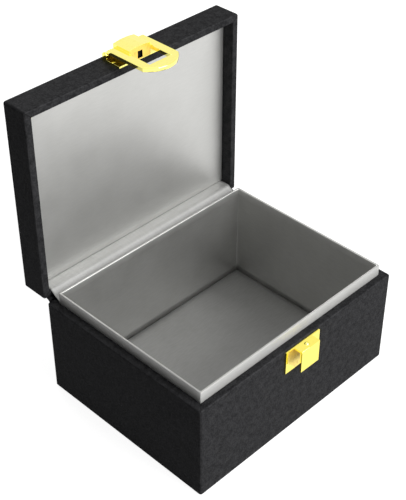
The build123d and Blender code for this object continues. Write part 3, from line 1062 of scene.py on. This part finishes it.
@dataclass
class FrameCloth:
    """The cloth over the raised inner frame, and over the floor card."""

    material: bpy.types.Material
    floor_material: bpy.types.Material
    tuck: float = 8.0 * MM
    thickness: float = 0.22 * MM
    edge_round: float = 0.38 * MM
    corner_round: float = 0.5 * MM
    floor_crown: float = 0.35 * MM
    floor_edge: float = 0.2 * MM
    floor_cells: tuple[int, int] = (40, 30)
    wave: float = 0.08 * MM
    wave_size: float = 18 * MM
    wave_place: Place = (3.1, 7.7, 0.0)
    long_run: float = 60 * MM
    long_cuts: int = 26
    tall_run: float = 20 * MM
    tall_cuts: int = 12

    def build(self) -> None:
        """Builds both cloths."""
        self._walls()
        self._floor()

    def _walls(self) -> None:
        """Builds the cloth from the tuck behind the rim, over the frame's top and down inside."""
        low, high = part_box("base_shield_liner")
        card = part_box("neck_front_card")
        wall = 2 * (card[0].y - low.y) + card[1].y - card[0].y
        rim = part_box("base_wrap")[1].z
        turns = [math.pi / 6 * i for i in range(4)]
        rounds = [self.edge_round * (1 - math.cos(turn)) for turn in turns]
        falls = [self.edge_round * (1 - math.sin(turn)) for turn in turns]
        outer = [(-inset, high.z - fall) for inset, fall in zip(rounds, falls)]
        inner = [(-wall - reach, height) for reach, height in reversed(outer)]
        profile = [*outer, *inner, (-wall, low.z + self.floor_edge)]
        start = rim - self.tuck
        cloth = draw_grid(1, 1, high.x - low.x, high.y - low.y)
        bmesh.ops.delete(cloth, geom=list(cloth.faces), context="FACES_ONLY")
        bmesh.ops.translate(cloth, vec=(0.0, 0.0, start), verts=cloth.verts)
        extend_rim(cloth, list(cloth.edges), (high.x, high.y), start, profile)
        corners = [e for e in cloth.edges if not self._along_wall(e)]
        bmesh.ops.bevel(
            cloth, geom=corners, offset=self.corner_round, segments=4, profile=0.5,
            affect="EDGES", material=-1, clamp_overlap=True,
        )
        self._cut_up(cloth)
        face_towards(cloth, Vector((0.0, 0.0, 1.0)))
        piece = finish_piece(cloth, "frame_cloth", self.material)
        thicken(piece, self.thickness, -1.0)
        down = self.tuck + high.z - rim + wall + high.z - low.z
        declare_cloth(piece, "base_shield_liner", Body.BASE)

    def _along_wall(self, edge: bmesh.types.BMEdge) -> bool:
        """Whether an edge runs from corner to corner, and not up a corner."""
        ends = edge.verts
        return ends[0].co.x * ends[1].co.x < 0 or ends[0].co.y * ends[1].co.y < 0

    def _cut_up(self, cloth: bmesh.types.BMesh) -> None:
        """Cuts the long walls into small cells.

        Args:
            cloth: The walls.
        """
        runs = [e for e in cloth.edges if e.calc_length() > self.long_run]
        bmesh.ops.subdivide_edges(cloth, edges=runs, cuts=self.long_cuts, use_grid_fill=True)
        runs = [e for e in cloth.edges if abs(e.verts[0].co.z - e.verts[1].co.z) > self.tall_run]
        bmesh.ops.subdivide_edges(cloth, edges=runs, cuts=self.tall_cuts, use_grid_fill=True)

    def _floor(self) -> None:
        """Builds the floor's cloth, softly crowned."""
        low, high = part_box("base_floor_card")
        width = high.x - low.x - 2 * self.floor_edge
        depth = high.y - low.y - 2 * self.floor_edge
        cloth = draw_grid(*self.floor_cells, width, depth)
        crown(cloth, self.floor_crown)
        turn_down(cloth, self.floor_edge, self.thickness + self.floor_edge)
        ripple(cloth, self.wave, self.wave_size, self.wave_place)
        rise = high.z + self.thickness + self.floor_edge
        bmesh.ops.translate(cloth, vec=(0.0, 0.0, rise), verts=cloth.verts)
        piece = finish_piece(cloth, "floor_cloth_painted_shade", self.floor_material)
        thicken(piece, self.thickness, -1.0)
        declare_cloth(piece, "base_shield_liner", Body.BASE)


@dataclass
class LidLining:
    """The cloth-covered panel in the lid, and its foam."""

    material: bpy.types.Material
    foam: bpy.types.Material
    thickness: float = 0.22 * MM
    panel_crown: float = 0.7 * MM
    edge_round: float = 0.5 * MM
    foam_crown: float = 0.4 * MM
    foam_roll: float = 1.0 * MM
    foam_fill: float = 0.9
    panel_cells: tuple[int, int] = (52, 40)
    foam_cells: tuple[int, int] = (26, 20)
    wave: float = 0.07 * MM
    wave_size: float = 26 * MM
    wave_place: Place = (1.3, 4.1, 2.0)

    def build(self) -> None:
        """Builds the panel's cloth and the foam."""
        self._panel()
        self._foam_pad()

    def _panel(self) -> None:
        """Builds the panel's cloth, crowned in the middle and turned round the card's edge."""
        card_low, card_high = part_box("lid_panel_card")
        edge = self.edge_round
        width = card_high.x - card_low.x + 2 * (self.thickness - edge)
        tall = card_high.z - card_low.z + 2 * (self.thickness - edge)
        cloth = draw_grid(*self.panel_cells, width, tall)
        crown(cloth, self.panel_crown)
        turn_down(cloth, edge, card_high.y - card_low.y)
        ripple(cloth, self.wave, self.wave_size, self.wave_place)
        stand_up(cloth)
        face_y = card_low.y - self.thickness
        middle_z = (card_low.z + card_high.z) / 2
        bmesh.ops.translate(cloth, vec=(0.0, face_y, middle_z), verts=cloth.verts)
        piece = finish_piece(cloth, "lid_panel_cloth", self.material)
        thicken(piece, self.thickness, -1.0)
        declare_cloth(piece, "lid_shield_liner", Body.LID)

    def _foam_pad(self) -> None:
        """Builds the foam behind the panel, with its sides drawn in and a soft crown."""
        low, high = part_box("lid_foam_pad")
        thick = high.y - low.y
        roll = self.foam_roll
        pad = draw_grid(*self.foam_cells, high.x - low.x - 2 * roll, high.z - low.z - 2 * roll)
        crown(pad, self.foam_crown)
        turn_down(pad, roll, thick - self.foam_crown)
        bmesh.ops.holes_fill(pad, edges=boundary_of(pad), sides=0)
        stand_up(pad)
        place = (0.0, low.y + self.foam_crown, (low.z + high.z) / 2)
        bmesh.ops.translate(pad, vec=place, verts=pad.verts)
        bmesh.ops.recalc_face_normals(pad, faces=pad.faces)
        piece = finish_piece(pad, "lid_foam", self.foam)
        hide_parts("lid_foam_pad")
        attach(piece, Body.LID.value)


@dataclass
class HingeCloth:
    """The cloth across the hinge, from the frame's back over the rim and down the lid's back wall."""

    material: bpy.types.Material
    thickness: float = 0.18 * MM
    columns: int = 130
    gusset_rows: int = 8
    wall_rows: int = 6
    sag: float = 0.25 * MM
    pucker: float = 0.07 * MM
    pucker_pitch: float = 2.6 * MM
    pucker_rows: float = 1.5
    pucker_place: float = 4.0
    last_row: float = 0.49

    def build(self) -> None:
        """Builds the cloth, a little slack between its two glued edges."""
        low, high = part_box("hinge_shield_strip")
        foot = Vector((0.0, low.y, low.z + self.thickness))
        head = Vector((0.0, high.y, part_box("lid_shield_liner")[0].z + self.thickness))
        width = high.x - low.x
        cloth = draw_grid(self.columns, self.gusset_rows, width, 1.0)
        edge = [e for e in boundary_of(cloth) if all(v.co.y > self.last_row for v in e.verts)]
        for vertex in cloth.verts:
            self._hang(vertex, foot, head)
        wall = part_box("lid_foam_pad")[1].y - head.y
        for _ in range(self.wall_rows):
            result = bmesh.ops.extrude_edge_only(cloth, edges=edge)
            step = (0.0, wall / self.wall_rows, 0.0)
            bmesh.ops.translate(cloth, vec=step, verts=new_vertices(result))
            edge = new_edges(result)
        face_towards(cloth, Vector((0.0, -1.0, 1.0)))
        piece = finish_piece(cloth, "hinge_cloth", self.material)
        thicken(piece, self.thickness, -1.0)
        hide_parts("hinge_shield_strip", "lid_shield_liner")
        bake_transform(piece)

    def _hang(self, vertex: bmesh.types.BMVert, foot: Vector, head: Vector) -> None:
        """Moves one point of the flat strip to where the cloth hangs.

        Args:
            vertex: The point, in a grid one metre long along Y.
            foot: The middle of the edge on the frame.
            head: The middle of the edge on the lid's wall.
        """
        share = vertex.co.y + 0.5
        place = foot.lerp(head, share)
        slack = math.sin(math.pi * share)
        along = vertex.co.x / self.pucker_pitch
        crease = noise.noise(Vector((along, share * self.pucker_rows, self.pucker_place)))
        drop = (self.sag - self.pucker * crease) * slack
        vertex.co = Vector((vertex.co.x, place.y + drop * 0.5, place.z - drop))


# -------------------- studio
@dataclass
class Lamp:
    """One soft rectangular lamp."""

    name: str
    place: Vector
    width: float
    height: float
    power: float
    aim: Vector = field(default_factory=lambda: Vector((0.0, 0.0, 0.08)))

    def build(self) -> None:
        """Hangs the lamp and turns it to what it lights."""
        light = bpy.data.lights.new(self.name, "AREA")
        light.shape = "RECTANGLE"
        light.size, light.size_y = self.width, self.height
        light.energy = self.power
        lamp = bpy.data.objects.new(self.name, light)
        lamp.location = self.place
        lamp.rotation_euler = (self.place - self.aim).to_track_quat("Z", "Y").to_euler()
        bpy.context.scene.collection.objects.link(lamp)


@dataclass
class Studio:
    """The floor, the world, the lamps and the camera."""

    floor_half: float = 1.3
    floor_colour: Colour = (0.44, 0.44, 0.44)
    floor_patch: Colour = (0.50, 0.50, 0.50)
    patch_share: float = 0.05
    patch_size: float = 0.5
    floor_lift: float = 0.895
    ambient: float = 0.06
    camera_place: Vector = field(default_factory=lambda: Vector((-0.3296, -0.3128, 0.4342)))
    camera_azimuth: float = -45.311
    camera_elevation: float = 37.797
    lens: float = 82.95

    def build(self) -> None:
        """Builds the whole studio."""
        self._floor()
        self._world()
        self._camera()
        lamps = (
            Lamp("key", Vector((0.37, -1.25, 0.85)), 0.85, 0.8, 20.0),
            Lamp("edge", Vector((-0.17, -1.30, 0.35)), 0.25, 0.3, 4.5),
            Lamp("top", Vector((0.25, 0.15, 1.7)), 1.2, 1.0, 3.6),
            Lamp("back", Vector((0.45, 1.30, 0.50)), 0.8, 0.5, 8.0),
        )
        for lamp in lamps:
            lamp.build()
        bpy.context.scene.view_settings.view_transform = "Standard"

    def _seen(self, sheet: ShaderSheet) -> Signal:
        """1 for what the camera sees, directly or in metal or glass.

        Args:
            sheet: The node sheet that asks.

        Returns:
            The signal.
        """
        ray = sheet.node("ShaderNodeLightPath")
        camera, glossy, through = (
            Signal(sheet, ray.outputs[name])
            for name in ("Is Camera Ray", "Is Glossy Ray", "Is Transmission Ray")
        )
        return camera.larger(glossy).larger(through)

    def _floor(self) -> None:
        """Lays the pale floor, lifted to white where it is seen, with its shadows kept."""
        sheet = ShaderSheet.named("pale_floor")
        tone = sheet.clouds(self.patch_size, 1.0)
        colour = sheet.blend(tone * self.patch_share, self.floor_colour, self.floor_patch)
        matt = sheet.node("ShaderNodeBsdfDiffuse", inputs={"Color": colour})
        lift = self._seen(sheet) * self.floor_lift
        glow = sheet.node("ShaderNodeEmission", inputs={"Strength": lift})
        both = sheet.node("ShaderNodeAddShader", inputs={0: matt.outputs[0], 1: glow.outputs[0]})
        sheet.node("ShaderNodeOutputMaterial", inputs={"Surface": both.outputs[0]})
        ground = draw_grid(1, 1, 2 * self.floor_half, 2 * self.floor_half)
        floor = finish_piece(ground, "floor", sheet.owner)

    def _world(self) -> None:
        """Sets the plain surrounding light, seen as white."""
        world = bpy.data.worlds.new("surround")
        bpy.context.scene.world = world
        sheet = ShaderSheet(world)
        strength = self._seen(sheet) * (1.0 - self.ambient) + self.ambient
        values = {"Color": (1.0, 1.0, 1.0, 1.0), "Strength": strength}
        back = sheet.node("ShaderNodeBackground", inputs=values)
        sheet.node("ShaderNodeOutputWorld", inputs={"Surface": back.outputs[0]})

    def _camera(self) -> None:
        """Sets the camera at the photograph's angle."""
        turn, tilt = math.radians(self.camera_azimuth), math.radians(self.camera_elevation)
        level = math.cos(tilt)
        back = Vector((math.sin(turn) * level, -math.cos(turn) * level, math.sin(tilt)))
        lens = bpy.data.cameras.new("camera")
        lens.lens = self.lens
        lens.clip_start, lens.clip_end = 0.01, 20.0
        camera = bpy.data.objects.new("camera", lens)
        camera.location = self.camera_place
        camera.rotation_euler = back.to_track_quat("Z", "Y").to_euler()
        bpy.context.scene.collection.objects.link(camera)
        bpy.context.scene.camera = camera


def dress_hidden(parts: FrameParts) -> None:
    """Finishes the boards, cards, papers and steel pieces, and builds the spring.

    Args:
        parts: The carried-over nodes.
    """
    greyboard = PressedFibre("greyboard", (0.33, 0.30, 0.26), (0.44, 0.41, 0.37)).material()
    card = PressedFibre("lining_card", (0.56, 0.54, 0.50), (0.44, 0.42, 0.39), 0.5 * MM).material()
    paper = PressedFibre("bottom_paper", (0.022, 0.022, 0.024), (0.04, 0.04, 0.042), 0.6 * MM)
    parts.dress_ending(greyboard, "_board")
    parts.dress_ending(card, "_card")
    parts.dress(paper.material(), "base_bottom_cover")
    steel = Steel("plain_steel").material()
    parts.dress(steel, "keeper_studs", "lid_plate_studs", "detent_sleeve")
    CatchSpring(parts.nodes["detent_spring"], steel).build()


def main() -> None:
    """Builds the key box's looks and its studio."""
    logging.basicConfig(level=logging.INFO, format="%(name)s: %(message)s")
    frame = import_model()
    parts = FrameParts(frame["nodes"])
    dress_hidden(parts)
    SnapLatch(parts).build()
    LeatherShells(parts).build()
    wall_cloth = FrameShieldCloth("frame_cloth", metal=0.92, roughness=0.38).material()
    # a darker copy of the shield cloth: painted shade standing in for the shadow of the keys, which
    # are left out
    floor_cloth_painted_shade = ShieldCloth(
        "floor_cloth_painted_shade", dark=(0.23, 0.23, 0.225), light=(0.30, 0.30, 0.295),
        metal=0.6, roughness=0.48,
    ).material()
    FrameCloth(wall_cloth, floor_cloth_painted_shade).build()
    panel_cloth = ShieldCloth(
        "panel_cloth", dark=(0.495, 0.495, 0.48), light=(0.555, 0.555, 0.54),
        metal=0.85, roughness=0.44,
    ).material()
    LidLining(panel_cloth, OpenFoam("grey_foam").material()).build()
    hinge_cloth = ShieldCloth(
        "hinge_cloth", dark=(0.41, 0.41, 0.40), light=(0.49, 0.49, 0.48),
        metal=0.45, grain=(1.0, 0.12, 1.0),
    ).material()
    HingeCloth(hinge_cloth).build()
    Studio().build()
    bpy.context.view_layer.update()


if __name__ == "__main__":
    main()
